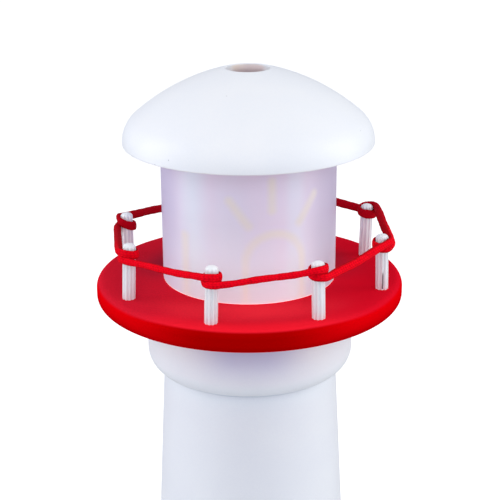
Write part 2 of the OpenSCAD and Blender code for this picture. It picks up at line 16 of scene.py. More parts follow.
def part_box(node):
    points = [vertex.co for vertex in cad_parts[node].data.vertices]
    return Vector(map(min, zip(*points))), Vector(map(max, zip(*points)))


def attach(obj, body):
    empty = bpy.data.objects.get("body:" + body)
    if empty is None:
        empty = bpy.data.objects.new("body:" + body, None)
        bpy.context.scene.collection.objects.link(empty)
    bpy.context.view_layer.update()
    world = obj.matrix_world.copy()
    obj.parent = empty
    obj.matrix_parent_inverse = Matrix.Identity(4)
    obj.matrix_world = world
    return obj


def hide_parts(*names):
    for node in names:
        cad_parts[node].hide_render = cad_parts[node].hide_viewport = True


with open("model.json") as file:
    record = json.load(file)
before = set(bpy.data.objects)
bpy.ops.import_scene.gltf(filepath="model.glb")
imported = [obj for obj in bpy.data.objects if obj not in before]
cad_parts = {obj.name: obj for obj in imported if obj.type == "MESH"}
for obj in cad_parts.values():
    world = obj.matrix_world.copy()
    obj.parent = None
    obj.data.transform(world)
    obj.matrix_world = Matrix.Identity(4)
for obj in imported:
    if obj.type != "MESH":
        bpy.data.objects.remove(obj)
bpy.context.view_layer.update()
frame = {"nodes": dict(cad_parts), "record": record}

MM = 0.001
AXIS = Vector((0, 0, 1))
AROUND = 256
FLUTE = "flute"
WALES = 5
KNIT_LEAN = 1.1
WEAR_ROUGHNESS = 0.12
BLACK = (0.0, 0.0, 0.0, 1.0)
LOG = logging.getLogger("lamp")

Colour = tuple[float, float, float, float]
Point2 = tuple[float, float]
Point3 = tuple[float, float, float]


class Body(Enum):
    """The bodies of the lamp that move apart."""

    STAND = "stand"
    BULB = "bulb"
    SHADE = "shade"
    DOME_CAP = "dome_cap"


def screen(red: float, green: float, blue: float) -> Colour:
    """Turns a colour as a screen shows it into the linear colour that shaders use.

    Args:
        red: Red from 0 to 255.
        green: Green from 0 to 255.
        blue: Blue from 0 to 255.

    Returns:
        The linear colour, with an alpha of 1.
    """
    shares = [value / 255 for value in (red, green, blue)]
    linear = [s / 12.92 if s <= 0.04045 else ((s + 0.055) / 1.055) ** 2.4 for s in shares]
    return (linear[0], linear[1], linear[2], 1.0)


def arithmetic(operation: str, swapped: bool = False) -> Callable[["Wire", "Wire | float"], "Wire"]:
    """Makes a method that turns an operator between wires and numbers into a Math node.

    Args:
        operation: The node's operation.
        swapped: Whether the wire itself comes second.

    Returns:
        The method.
    """

    def apply(wire: "Wire", other: "Wire | float") -> "Wire":
        """Adds the Math node."""
        return wire.graph.math(operation, *((other, wire) if swapped else (wire, other)))

    return apply


@dataclass(frozen=True)
class Wire:
    """One value that flows in a node tree. Arithmetic on it adds Math nodes."""

    graph: "Graph"
    socket: bpy.types.NodeSocket | None

    __add__ = __radd__ = arithmetic("ADD")
    __sub__ = arithmetic("SUBTRACT")
    __rsub__ = arithmetic("SUBTRACT", swapped=True)
    __mul__ = __rmul__ = arithmetic("MULTIPLY")
    __pow__ = arithmetic("POWER")

    def __abs__(self) -> "Wire":
        """Drops the sign."""
        return self.graph.math("ABSOLUTE", self)

    def sibling(self, output: int | str) -> "Wire":
        """Gives another output of the node that this one leaves."""
        return Wire(self.graph, self.socket.node.outputs[output])


class Graph:
    """The node tree of one material or world, and the one way in which nodes join it."""

    def __init__(self, tree: bpy.types.NodeTree) -> None:
        """Empties a tree for new nodes."""
        self.tree = tree
        tree.nodes.clear()

    def add(
        self, kind: str, values: dict[int | str, object], output: int | str = 0, **settings: object,
    ) -> Wire:
        """Adds a node.

        Args:
            kind: The end of its type's name.
            values: A value or a wire for each socket that is set.
            output: The output that is passed on.
            settings: The node's own settings.

        Returns:
            The output as a wire.
        """
        node = self.tree.nodes.new(f"ShaderNode{kind}")
        for name, setting in settings.items():
            setattr(node, name, setting)
        for key, value in values.items():
            if isinstance(value, Wire):
                self.tree.links.new(value.socket, node.inputs[key])
            else:
                node.inputs[key].default_value = value
        return Wire(self, node.outputs[output] if node.outputs else None)

    def math(self, operation: str, *values: Wire | float) -> Wire:
        """Adds a Math node."""
        return self.add("Math", dict(enumerate(values)), operation=operation)

    def point(self) -> Wire:
        """Gives the object coordinates."""
        return self.add("TexCoord", {}, "Object")

    def uv(self) -> Wire:
        """Gives the piece's own UV coordinates."""
        return self.add("TexCoord", {}, "UV")

    def place(self) -> tuple[Wire, Wire, Wire, Wire]:
        """Gives the object coordinates, and then their three parts in mm."""
        point = self.point()
        return point, *(part * (1 / MM) for part in self.axes(point))

    def axes(self, vector: Wire) -> tuple[Wire, Wire, Wire]:
        """Takes a vector apart into its three parts."""
        first = self.add("SeparateXYZ", {0: vector})
        return first, first.sibling(1), first.sibling(2)

    def stretched(self, vector: Wire, scale: Point3) -> Wire:
        """Scales a vector's axes apart."""
        return self.add("Mapping", {"Vector": vector, "Scale": scale})

    def noise(self, vector: Wire, scale: float, detail: float = 2, distortion: float = 0) -> Wire:
        """Adds soft noise."""
        values = {"Vector": vector, "Scale": scale, "Detail": detail, "Distortion": distortion}
        return self.add("TexNoise", values)

    def mix(self, share: Wire | float, first: Wire | Colour, second: Wire | Colour) -> Wire:
        """Mixes two colours."""
        return self.add("Mix", {0: share, 6: first, 7: second}, 2, data_type="RGBA")

    def layers(self, colour: Wire | Colour, *layers: tuple[Wire | float, Wire | Colour]) -> Wire:
        """Mixes colours over each other.

        Args:
            colour: The lowest colour.
            layers: A share and a colour for each of the others, the top one last.

        Returns:
            The colour that shows.
        """
        for share, layer in layers:
            colour = self.mix(share, colour, layer)
        return colour

    def length(self, x: Wire, y: Wire) -> Wire:
        """Gives how long a vector of two parts is."""
        return self.math("SQRT", x * x + y * y)

    def step(self, value: Wire, low: float, high: float) -> Wire:
        """Rises softly from 0 to 1.

        Args:
            value: The value that is judged.
            low: Where the rise starts. Above high, the step falls instead.
            high: Where the rise ends.

        Returns:
            The step.
        """
        swapped = low > high
        start, end = (high, low) if swapped else (low, high)
        values = {0: value, 1: start, 2: end, 3: float(swapped), 4: float(not swapped)}
        return self.add("MapRange", values, interpolation_type="SMOOTHSTEP")

    def bump(self, height: Wire, depth_mm: float) -> Wire:
        """Turns a height, of which 1 stands for a depth in mm, into a normal."""
        return self.add("Bump", {"Strength": 1.0, "Distance": depth_mm * MM, "Height": height})

    def surface(self, **sockets: Wire | float | Colour) -> None:
        """Ends the tree in a Principled surface.

        Args:
            sockets: Values for its sockets, with underscores for the spaces in their names.
        """
        values = {name.replace("_", " "): value for name, value in sockets.items()}
        shader = self.add("BsdfPrincipled", values)
        self.add("OutputMaterial", {"Surface": shader})


@dataclass(frozen=True)
class Finish:
    """A surface finish that becomes one node material."""

    name: str

    def material(self) -> bpy.types.Material:
        """Gives the finish's material, made the first time it is asked for.

        Returns:
            The material.
        """
        key = f"{self.name}_finish"
        found = bpy.data.materials.get(key)
        if found is not None:
            return found
        made = bpy.data.materials.new(key)
        made.use_nodes = True
        self.lay_on(Graph(made.node_tree))
        return made

    def lay_on(self, graph: Graph) -> None:
        """Adds the finish's nodes."""
        raise NotImplementedError


@dataclass(frozen=True)
class Coat:
    """The even paint that a finish starts from, with the place in mm and a slow and a fine noise."""

    graph: Graph
    point: Wire
    x: Wire
    y: Wire
    z: Wire
    colour: Wire
    wear: Wire
    fine: Wire


@dataclass(frozen=True)
class Paint(Finish):
    """Satin paint on wood or board, with drift in the colour, fine texture and dust specks."""

    colour: Colour
    drift: Colour
    roughness: float = 0.4
    mottle: float = 0.5
    texture_mm: float = 0.02
    specks: Colour | None = None
    speck_share: float = 0.1
    shine: float = 0.5

    def coat(self, graph: Graph) -> Coat:
        """Adds the even paint's nodes.

        Args:
            graph: The empty node tree.

        Returns:
            The even paint.
        """
        point, x, y, z = graph.place()
        fine = graph.noise(point, 850, 3)
        clouds = graph.noise(point, 22, 3, 0.4)
        share = graph.step(clouds * (1 - self.mottle) + fine * self.mottle, 0.3, 0.7)
        colour = graph.mix(share, self.colour, self.drift)
        if self.specks is not None:
            cells = graph.add("TexVoronoi", {"Vector": point, "Scale": 240.0})
            pick = graph.add("SeparateColor", {0: cells.sibling(1)})
            chosen = graph.step(pick, 1 - self.speck_share, 1 - 0.9 * self.speck_share)
            colour = graph.mix(graph.step(cells, 0.12, 0.06) * chosen, colour, self.specks)
        return Coat(graph, point, x, y, z, colour, graph.noise(point, 60, 4), fine)

    def shaded(self, coat: Coat) -> Wire:
        """Gives the even paint's colour as it is. A finish with shading of its own adds it here."""
        return coat.colour

    def lay_on(self, graph: Graph) -> None:
        """Adds the paint's nodes.

        Args:
            graph: The empty node tree.
        """
        coat = self.coat(graph)
        graph.surface(
            Base_Color=self.shaded(coat),
            Roughness=self.roughness + WEAR_ROUGHNESS * (coat.wear - 0.5),
            Specular_IOR_Level=self.shine,
            Normal=graph.bump(coat.fine, self.texture_mm),
        )


@dataclass(frozen=True)
class DomePaint(Paint):
    """White paint that thins out down the vent's wall, which stays bare wood below. The wall is painted
    white further down at the vent's sides and its bare wood lighter on the left, which is painted light,
    and the wood darkens further down the vent as painted shade.
    """

    vent_r: float = 0.0
    mouth_z: float = 0.0
    wood: Colour = screen(246, 230, 229)
    wood_lit_left: Colour = screen(252, 238, 226)
    wood_deep_shade: Colour = screen(184, 160, 165)

    def lay_on(self, graph: Graph) -> None:
        """Adds the paint's and the bare wall's nodes.

        Args:
            graph: The empty node tree.
        """
        coat = self.coat(graph)
        beside = abs(coat.x)
        depth = self.mouth_z - coat.z
        radius = graph.length(coat.x, coat.y)
        inside = graph.step(radius, self.vent_r + 0.5, self.vent_r + 0.1)
        # The paint's edge runs down the wall in uneven drips. Painted light: the paint also reaches
        # further down at the vent's sides, where light falls in.
        drips = 1.4 * (graph.noise(coat.point, 300, 3) - 0.5) - 1.5 * graph.step(beside, 9.0, 13.2)
        bare = inside * graph.step(depth + drips, -0.2, 1.5) * (1 - 0.9 * graph.step(beside, 7.6, 12.4))
        grain = graph.noise(graph.stretched(coat.point, (1, 1, 9)), 160, 4, 0.6)
        # Painted light: the bare wood is lighter towards the vent's left side.
        light = graph.mix(graph.step(coat.x, -9.0, 1.0), self.wood_lit_left, self.wood)
        # Painted shade: the bare wood darkens further down the vent.
        wood = graph.mix(0.25 * grain + 0.75 * graph.step(depth, 1.5, 6.0), light, self.wood_deep_shade)
        graph.surface(
            Base_Color=graph.mix(bare, coat.colour, wood),
            Roughness=self.roughness + WEAR_ROUGHNESS * (coat.wear - 0.5) + 0.35 * bare,
            Normal=graph.bump(coat.fine + bare * grain * 3.0, self.texture_mm),
        )


@dataclass(frozen=True)
class CollarPaint(Paint):
    """White paint with painted shade: greyer in front under the gallery and along the seam."""

    # Colours of the painted shadow under the gallery and of the painted shade in the seam.
    under: Colour = screen(201, 206, 234)
    line: Colour = screen(166, 180, 204)
    low_z: float = 0.0
    high_z: float = 0.0

    def shaded(self, coat: Coat) -> Wire:
        """Greys the paint with painted shade in front under the gallery and along the seam.

        Args:
            coat: The even paint.

        Returns:
            The colour.
        """
        graph = coat.graph
        front = graph.step(abs(coat.x), 44.0, 8.0) * graph.step(coat.y, 0.0, -40.0)
        # Painted shadow of the gallery on the collar's front, below its top.
        high = graph.step(coat.z + 3.0 * (coat.wear - 0.5), self.high_z - 38.0, self.high_z - 12.0)
        # Painted shade in the seam between collar and tower, deepest in front.
        seam = graph.step(coat.z, self.low_z + 3.6, self.low_z + 0.4)
        seam = seam * (0.45 + 0.55 * front)
        return graph.layers(coat.colour, (seam, self.line), (front * high, self.under))


@dataclass(frozen=True)
class BoardPaint(Paint):
    """Red paint on a board, deeper on the rim. The top's pinker red is a painted reflection, and the rim
    is painted darker in front and at its lower edge as shade.
    """

    # Painted shade: the top is deeper red towards the right.
    right_side_shade: Colour = screen(222, 14, 38)
    shadow: Colour = screen(150, 34, 54)
    # Painted reflection of the tube's foot on the top in front.
    tube_reflection: Colour = screen(250, 50, 64)
    tube_reflection_r: float = 58.0
    # Painted highlight along the top's edge.
    edge_highlight: Colour = screen(250, 29, 48)
    # The rim's own deeper red, and its painted shade in front and along its lower edge.
    rim: Colour = screen(225, 0, 9)
    front_rim_shade: Colour = screen(174, 0, 0)
    low_rim_shade: Colour = screen(176, 0, 4)
    rim_r: float = 0.0
    round_r: float = 0.0
    low_z: float = 0.0
    high_z: float = 0.0

    def _rim(self, coat: Coat) -> Wire:
        """Colours the rim, with painted shade darker in front and at its lower edge.

        Args:
            coat: The even paint.

        Returns:
            The colour.
        """
        graph = coat.graph
        front = graph.step(abs(coat.x + 5.0), 76.0, 18.0) * graph.step(coat.y, 0.0, -60.0)
        low = graph.step(coat.z, self.high_z - 5.0, self.low_z) * (1 - front)
        return graph.mix(low, graph.mix(front, self.rim, self.front_rim_shade), self.low_rim_shade)

    def shaded(self, coat: Coat) -> Wire:
        """Adds the top's painted shade, painted shadow, painted reflection of the tube and painted edge
        highlight, and the rim.

        Args:
            coat: The even paint.

        Returns:
            The colour.
        """
        graph, x, y = coat.graph, coat.x, coat.y
        radius = graph.length(x, y)
        reach = self.rim_r - 0.5 * self.round_r - radius
        near = graph.step(y, -62.0, -93.0)
        behind = graph.step(radius, 84.0, 56.0) * graph.step(y, -22.0, 28.0)
        behind = behind * (0.95 - 0.28 * graph.step(x, 25.0, 65.0))
        # Painted reflection of the tube, brighter towards the tube's foot at the front of the top.
        tube_reflection_share = graph.step(radius + 12.0 * (coat.wear - 0.5), self.rim_r - 6.0, self.tube_reflection_r)
        tube_reflection_share = tube_reflection_share * graph.step(y, -38.0, -72.0) * 0.75
        # Painted highlight along the top's edge, strongest in front.
        edge = graph.step(reach - 6.0 * near, 16.0, -1.0) * (0.1 + 0.85 * near)
        return graph.layers(
            coat.colour,
            # Painted shade: deeper red towards the right.
            (graph.step(x, 20.0, 76.0), self.right_side_shade),
            (0.16 * graph.step(x, -30.0, -72.0), self.shadow),
            (behind, self.shadow),
            (tube_reflection_share, self.tube_reflection),
            (edge, self.edge_highlight),
            (graph.step(reach + 0.8 * (1 - near), 0.15, -1.35), self._rim(coat)),
        )


@dataclass(frozen=True)
class PostPaint(Paint):
    """Paint on a fluted dowel, thin over the grain, with painted shade in the flutes and a crack on one of
    the posts.
    """

    streak: Colour = screen(214, 212, 220)
    groove_shade_and_tone: Colour = screen(186, 182, 200)
    split: Colour = screen(116, 100, 108)
    crack_x: float = -1000.0
    crack_y: float = 0.0
    crack_low: float = 0.0
    crack_high: float = 0.0

    def lay_on(self, graph: Graph) -> None:
        """Adds the paint's nodes.

        Args:
            graph: The empty node tree.
        """
        coat = self.coat(graph)
        streaks = graph.noise(graph.stretched(coat.point, (1, 1, 0.06)), 900, 3)
        # Painted shade in the flutes, deeper on the posts further back.
        flute = graph.step(graph.add("Attribute", {}, attribute_name=FLUTE), 0.15, 1.0)
        flute = flute * (0.18 + 0.24 * graph.step(coat.y, -50.0, 10.0))
        sway = graph.noise(graph.stretched(coat.point, (0, 0, 1)), 260, 3)
        crack = graph.step(abs(coat.x - self.crack_x - (sway - 0.5) * 0.6), 0.62, 0.3)
        crack = crack * graph.step(coat.z, self.crack_low, self.crack_low + 0.5)
        crack = crack * graph.step(coat.z, self.crack_high, self.crack_high - 4)
        crack = crack * graph.step(coat.y, self.crack_y, self.crack_y - 0.5)
        graph.surface(
            Base_Color=graph.layers(
                coat.colour, (0.16 * streaks, self.streak), (flute, self.groove_shade_and_tone), (crack, self.split),
            ),
            Roughness=self.roughness + 0.15 * (streaks - 0.5),
            Normal=graph.bump(coat.fine + streaks * 1.5 - crack * 6.0, self.texture_mm),
        )


@dataclass(frozen=True)
class BareWood(Finish):
    """Sanded birch plywood or turned wood without paint."""

    light: Colour
    dark: Colour
    along: Point3 = (0.12, 1.0, 1.0)
    ply: float = 1.5

    def lay_on(self, graph: Graph) -> None:
        """Adds the wood's nodes.

        Args:
            graph: The empty node tree.
        """
        point, _, _, z = graph.place()
        bent = graph.stretched(point, self.along)
        figure = graph.noise(bent, 90, 5, 1.2)
        pores = graph.noise(bent, 1400, 2)
        plies = graph.math("SINE", z * (math.tau / self.ply))
        graph.surface(
            Base_Color=graph.layers(
                self.light,
                (graph.step(figure + 0.1 * plies, 0.3, 0.75), self.dark),
                (0.35 * graph.step(pores, 0.6, 0.75), self.dark),
            ),
            Roughness=0.62 + 0.2 * (figure - 0.5),
            Normal=graph.bump(figure + pores * 0.5, 0.05),
        )


@dataclass(frozen=True)
class Felt(Finish):
    """Pressed wool felt."""

    light: Colour
    dark: Colour

    def lay_on(self, graph: Graph) -> None:
        """Adds the felt's nodes.

        Args:
            graph: The empty node tree.
        """
        point = graph.point()
        hairs = graph.noise(point, 1100, 4, 2.5)
        lumps = graph.noise(point, 120, 3)
        graph.surface(
            Base_Color=graph.mix(hairs * 0.7 + lumps * 0.3, self.light, self.dark),
            Roughness=0.92 + 0.06 * (hairs - 0.5),
            Sheen_Weight=0.35,
            Normal=graph.bump(hairs + lumps, 0.12),
        )


def knit(across: Wire | np.ndarray, wave: Wire | np.ndarray) -> Wire | np.ndarray:
    """Gives the relief of a knitted wale from the way across it and the wave of its stitches."""
    return (1 - ((across - 0.25) * 4) ** 2) * (0.6 + 0.4 * wave)


@dataclass(frozen=True)
class Yarn(Finish):
    """Knitted cotton yarn. The UV map counts stitches along the cord and wales round it. Its colour holds
    painted shade in the knit's grooves, along the cord's upper and lower sides and on the rear strands.
    """

    ridge: Colour
    groove_shade_and_tone: Colour
    worn: Colour
    rear_shade: Colour

    def lay_on(self, graph: Graph) -> None:
        """Adds the yarn's nodes.

        Args:
            graph: The empty node tree.
        """
        along, around, _ = graph.axes(graph.uv())
        across = abs(graph.math("FRACT", around) - 0.5)
        relief = knit(across, graph.math("COSINE", (along - KNIT_LEAN * across) * math.tau))
        twist = graph.math("SINE", (along * 3 + across * 9) * math.tau)
        point, x, y, _ = graph.place()
        fuzz = graph.noise(point, 2600, 3, 1.5)
        patches = graph.noise(point, 130, 3)
        # Painted shade in the knit's grooves.
        low = graph.step(relief + 0.4 * (fuzz - 0.5), 0.6, 0.0)
        # Painted shade along the cord's upper and lower sides.
        facing = graph.math("COSINE", (around * (1 / WALES) - 0.055) * math.tau)
        # Painted shade on the strands towards the rear of the lamp.
        back = graph.step(y - 0.2 * x + 20.0 * (patches - 0.5), -42.0, 4.0)
        graph.surface(
            Base_Color=graph.layers(
                self.ridge,
                (0.4 * low, self.groove_shade_and_tone),
                (0.3 * graph.step(patches * 0.6 + fuzz * 0.4, 0.45, 0.7), self.worn),
                # The yarn's own tone: random darker patches.
                (0.35 * graph.step(graph.noise(point, 420, 3), 0.52, 0.72), self.groove_shade_and_tone),
                (0.85 * graph.step(facing + 0.3 * (fuzz - 0.5), 0.8, 0.05), self.groove_shade_and_tone),
                (back, self.rear_shade),
            ),
            Roughness=0.88 + 0.12 * (fuzz - 0.5),
            Specular_IOR_Level=0.05,
            Normal=graph.bump(relief * 1.6 + twist * 0.25 + fuzz, 0.04),
        )


@dataclass(frozen=True)
class Picture:
    """A plain picture of a rayed arch beside an upright bar, printed twice round the tube."""

    radius: float = 55.0
    foot_z: float = 266.1
    centre_deg: float = 16.3
    repeats: int = 2
    arch_r: float = 18.0
    arch_z: float = 26.0
    stroke: float = 5.0
    ray_low: Point2 = (16.2, 49.6)
    ray_high: Point2 = (27.4, 65.0)
    middle_low: Point2 = (-1.9, 59.0)
    middle_high: Point2 = (-1.9, 76.6)
    bar_low: Point2 = (-58.4, -9.0)
    bar_high: Point2 = (-58.4, 38.6)

    def _near(self, graph: Graph, a: Wire, h: Wire, start: Point2, end: Point2) -> Wire:
        """Gives the distance to a stroke.

        Args:
            graph: The node tree.
            a: The way round from the picture's middle, in mm.
            h: The height above the tube's foot, in mm.
            start: One end of the stroke.
            end: The other end.

        Returns:
            The distance in mm.
        """
        way = Vector(end) - Vector(start)
        unit = way.normalized()
        along = (a - start[0]) * unit.x + (h - start[1]) * unit.y
        held = graph.math("MAXIMUM", graph.math("MINIMUM", along, way.length), 0.0)
        return graph.length(a - start[0] - held * unit.x, h - start[1] - held * unit.y)

    def mask(self, graph: Graph, blur: float) -> Wire:
        """Draws the picture.

        Args:
            graph: The node tree.
            blur: How far the strokes' edges run, in mm.

        Returns:
            The share of ink, from 0 to 1.
        """
        _, x, y, z = graph.place()
        half = math.pi / self.repeats
        turned = graph.math("ARCTAN2", x, 0 - y) - math.radians(self.centre_deg)
        signed = graph.math("WRAP", turned, half, -half) * self.radius
        way = abs(signed)
        height = z - self.foot_z
        over = graph.math("MAXIMUM", height - self.arch_z, 0.0)
        arch = abs(graph.length(way, over) - self.arch_r)
        ray = self._near(graph, way, height, self.ray_low, self.ray_high)
        middle = self._near(graph, signed, height, self.middle_low, self.middle_high)
        bar = 0.8 * self._near(graph, signed, height, self.bar_low, self.bar_high)
        near = graph.math("MINIMUM", graph.math("MINIMUM", arch, ray), graph.math("MINIMUM", middle, bar))
        return graph.step(near, self.stroke / 2 + blur, self.stroke / 2 - blur)


@dataclass(frozen=True)
class FrostedTube(Finish):
    """Frosted acrylic tube, through which the picture on the film shows faintly. Its colour holds painted
    shade on its sides and under the dome, two painted sheen bands, and a painted glow towards its foot and
    along its foot's edge.
    """

    picture: Picture
    cool: Colour
    warm: Colour
    ink: Colour
    edge: Colour
    # Colour of the painted glow, strongest at the tube's foot.
    foot_glow: Colour
    # Colours of the painted shade on the tube's sides and right side, and of its painted sheen bands.
    limb_shade: Colour = screen(203, 194, 225)
    shade: Colour = screen(196, 184, 205)
    sheen: Colour = screen(232, 241, 255)
    foot_glow_height: float = 50.0
    roughness: float = 0.36

    def lay_on(self, graph: Graph) -> None:
        """Adds the tube's nodes.

        Args:
            graph: The empty node tree.
        """
        point, x, _, z = graph.place()
        height = z - self.picture.foot_z
        bands = graph.noise(graph.stretched(point, (1, 1, 0.12)), 24, 2)
        # Painted shade: the height term leans the tube towards its pinker tone under the dome and its
        # cooler tone towards the foot.
        share = graph.step(bands + 0.006 * (height - 46), 0.25, 0.75)
        ink = self.picture.mask(graph, 2.3)
        faint = ink * (0.62 + 0.5 * (graph.noise(point, 45, 2) - 0.5))
        # Painted sheen: two lighter upright bands.
        left = graph.step(abs(x + 33.6), 13.0, -1.0)
        right = graph.step(abs(x - 27.4), 8.0, 1.0)
        # Painted highlight: a bright line along the tube's foot.
        rim = graph.step(height, 0.85, 0.5)
        frost = graph.noise(point, 3000, 2)
        # Painted glow: the tube glows most towards its foot and along its foot's edge.
        foot_glow_share = graph.math("MAXIMUM", 1 - height * (1 / self.foot_glow_height), 0.0)
        glow = graph.mix(foot_glow_share * 0.8 + 0.2 * rim, BLACK, self.foot_glow)
        graph.surface(
            Base_Color=graph.layers(
                self.cool,
                (share, self.warm),
                (graph.step(abs(x), 30.0, 58.0), self.limb_shade),
                (0.52 * graph.step(x, 29.0, 48.0), self.shade),
                (0.8 * left + 0.45 * right, self.sheen),
                (faint, self.ink),
                (rim, self.edge),
            ),
            Emission_Color=graph.mix(rim * 0.34, glow, self.edge),
            Emission_Strength=1.0,
            Specular_IOR_Level=0.22,
            Roughness=self.roughness + 0.08 * (frost - 0.5),
            Subsurface_Weight=0.25,
            Subsurface_Radius=(0.004, 0.004, 0.004),
            Subsurface_Scale=1.0,
            Normal=graph.bump(frost, 0.006),
        )


@dataclass(frozen=True)
class PrintedFilm(Finish):
    """Thin milky film with the picture printed on it."""

    picture: Picture
    ground: Colour
    ink: Colour

    def lay_on(self, graph: Graph) -> None:
        """Adds the film's nodes.

        Args:
            graph: The empty node tree.
        """
        point = graph.point()
        ink = self.picture.mask(graph, 0.15)
        tooth = graph.noise(point, 1500, 2)
        graph.surface(
            Base_Color=graph.mix(ink * (0.85 + 0.15 * tooth), self.ground, self.ink),
            Roughness=0.3 + 0.2 * ink,
            Normal=graph.bump(tooth, 0.004),
        )


@dataclass(frozen=True)
class Metal(Finish):
    """Drawn, plated or turned metal."""

    colour: Colour
    dull: Colour
    roughness: float

    def lay_on(self, graph: Graph) -> None:
        """Adds the metal's nodes.

        Args:
            graph: The empty node tree.
        """
        point = graph.point()
        lines = graph.noise(graph.stretched(point, (1, 1, 14)), 420, 3)
        film = graph.noise(point, 140, 4)
        graph.surface(
            Base_Color=graph.mix(graph.step(film, 0.35, 0.75), self.colour, self.dull),
            Metallic=1.0,
            Roughness=self.roughness + 0.18 * (film - 0.5) + 0.08 * (lines - 0.5),
            Normal=graph.bump(lines, 0.01),
        )


@dataclass(frozen=True)
class Moulded(Finish):
    """Moulded plastic, glazed ceramic or glass."""

    colour: Colour
    drift: Colour
    roughness: float
    texture_mm: float = 0.015
    coat: float = 0.0
    glow_through: float = 0.0

    def lay_on(self, graph: Graph) -> None:
        """Adds the plastic's nodes.

        Args:
            graph: The empty node tree.
        """
        point = graph.point()
        flow = graph.noise(point, 55, 3, 0.8)
        spark = graph.noise(point, 1300, 2)
        graph.surface(
            Base_Color=graph.mix(graph.step(flow, 0.3, 0.7), self.colour, self.drift),
            Roughness=self.roughness + 0.1 * (flow - 0.5),
            Coat_Weight=self.coat,
            Subsurface_Weight=self.glow_through,
            Subsurface_Radius=(0.003, 0.003, 0.003),
            Subsurface_Scale=1.0,
            Normal=graph.bump(spark, self.texture_mm),
        )


PICTURE = Picture()
# Colour, drift, roughness, mottle and depth of texture
WHITE = (screen(240, 243, 248), screen(236, 239, 246), 0.42, 0.4, 0.018)
COLLAR_PAINT = CollarPaint("collar_paint", *WHITE)
DOME_PAINT = DomePaint(
    "dome_paint", screen(244, 246, 250), screen(240, 243, 249), 0.42, 0.4, 0.018,
    specks=screen(196, 198, 206), speck_share=0.05,
)
# The top's red carries a pinkish tint that is a painted reflection of the bright surroundings.
BOARD_PAINT = BoardPaint(
    "board_paint", screen(230, 28, 50), screen(214, 26, 46), 0.46, 0.75, 0.03,
    specks=screen(240, 60, 70), speck_share=0.14, shine=0.0,
)
POST_PAINT = PostPaint("post_paint", screen(248, 252, 254), screen(243, 248, 251))
YARN = Yarn("rope_yarn", screen(250, 0, 28), screen(160, 0, 12), screen(255, 14, 42), screen(178, 0, 22))
TUBE = FrostedTube(
    "frosted_tube", PICTURE, screen(229, 232, 247), screen(236, 226, 244), screen(240, 233, 220),
    screen(250, 246, 250), (0.2, 0.24, 0.24, 1.0),
)
FINISHES: dict[str, Finish] = {finish.name: finish for finish in (
    Paint("white_paint", *WHITE),
    BareWood("bare_wood", screen(226, 196, 154), screen(196, 154, 108)),
    Felt("felt", screen(96, 96, 102), screen(54, 54, 60)),
    PrintedFilm("film", PICTURE, screen(238, 234, 232), screen(226, 190, 120)),
    Moulded("bush_plastic", screen(236, 236, 236), screen(228, 228, 230), 0.42),
    Moulded("holder_plastic", screen(236, 232, 220), screen(228, 223, 208), 0.38),
    Moulded("core_ceramic", screen(240, 238, 230), screen(232, 229, 218), 0.2, 0.01, 0.5),
    Metal("brass", screen(226, 186, 104), screen(190, 148, 74), 0.28),
    Metal("zinc_steel", screen(198, 200, 205), screen(170, 173, 180), 0.34),
    Metal("cap_metal", screen(214, 212, 206), screen(182, 180, 174), 0.25),
    Moulded("black_glass", screen(26, 25, 27), screen(36, 34, 36), 0.14, 0.004, 0.6),
    Moulded("bulb_plastic", screen(243, 243, 243), screen(238, 238, 239), 0.3),
    Moulded("opal", screen(248, 246, 240), screen(244, 241, 233), 0.28, 0.006, 0.0, 0.5),
    Moulded("circuit_board", screen(238, 240, 242), screen(228, 231, 234), 0.3),
    Moulded("led_yellow", screen(238, 214, 92), screen(226, 196, 70), 0.35),
)}


@dataclass
class Outline:
    """The half section of a turned piece, in mm from the lamp's axis and from a level.

    A piece's hold is how far from a rounding its flat part has a row of corners, which keeps it flat.
    """

    level: float
    points: list[Point2] = field(default_factory=list)

    def to(self, r: float, z: float) -> "Outline":
        """Adds a sharp corner."""
        self.points.append((r, z + self.level))
        return self

    def bend(self, centre: Point2, radius: float, start: float, end: float, steps: int) -> "Outline":
        """Adds an arc.

        Args:
            centre: The arc's centre.
            radius: Its radius.
            start: Its first angle in degrees.
            end: Its last angle in degrees.
            steps: How many straight steps it has.

        Returns:
            The outline.
        """
        for i in range(steps + 1):
            angle = math.radians(start + (end - start) * i / steps)
            self.to(centre[0] + radius * math.cos(angle), centre[1] + radius * math.sin(angle))
        return self

    def turned(self, steps: int, closed: bool = True) -> bmesh.types.BMesh:
        """Turns the outline round the lamp's axis.

        Args:
            steps: How many faces there are round the piece.
            closed: Whether the last point joins the first.

        Returns:
            The turned piece.
        """
        piece = bmesh.new()
        corners = [piece.verts.new((r * MM, 0, z * MM)) for r, z in self.points]
        pairs = list(zip(corners, corners[1:]))
        if closed:
            pairs.append((corners[-1], corners[0]))
        edges = [piece.edges.new(pair) for pair in pairs]
        bmesh.ops.spin(
            piece, geom=corners + edges, cent=(0, 0, 0), axis=AXIS, dvec=(0, 0, 0),
            angle=math.tau, steps=steps, use_merge=True, use_duplicate=False,
        )
        bmesh.ops.remove_doubles(piece, verts=piece.verts, dist=0.001 * MM)
        bmesh.ops.recalc_face_normals(piece, faces=piece.faces)
        return piece


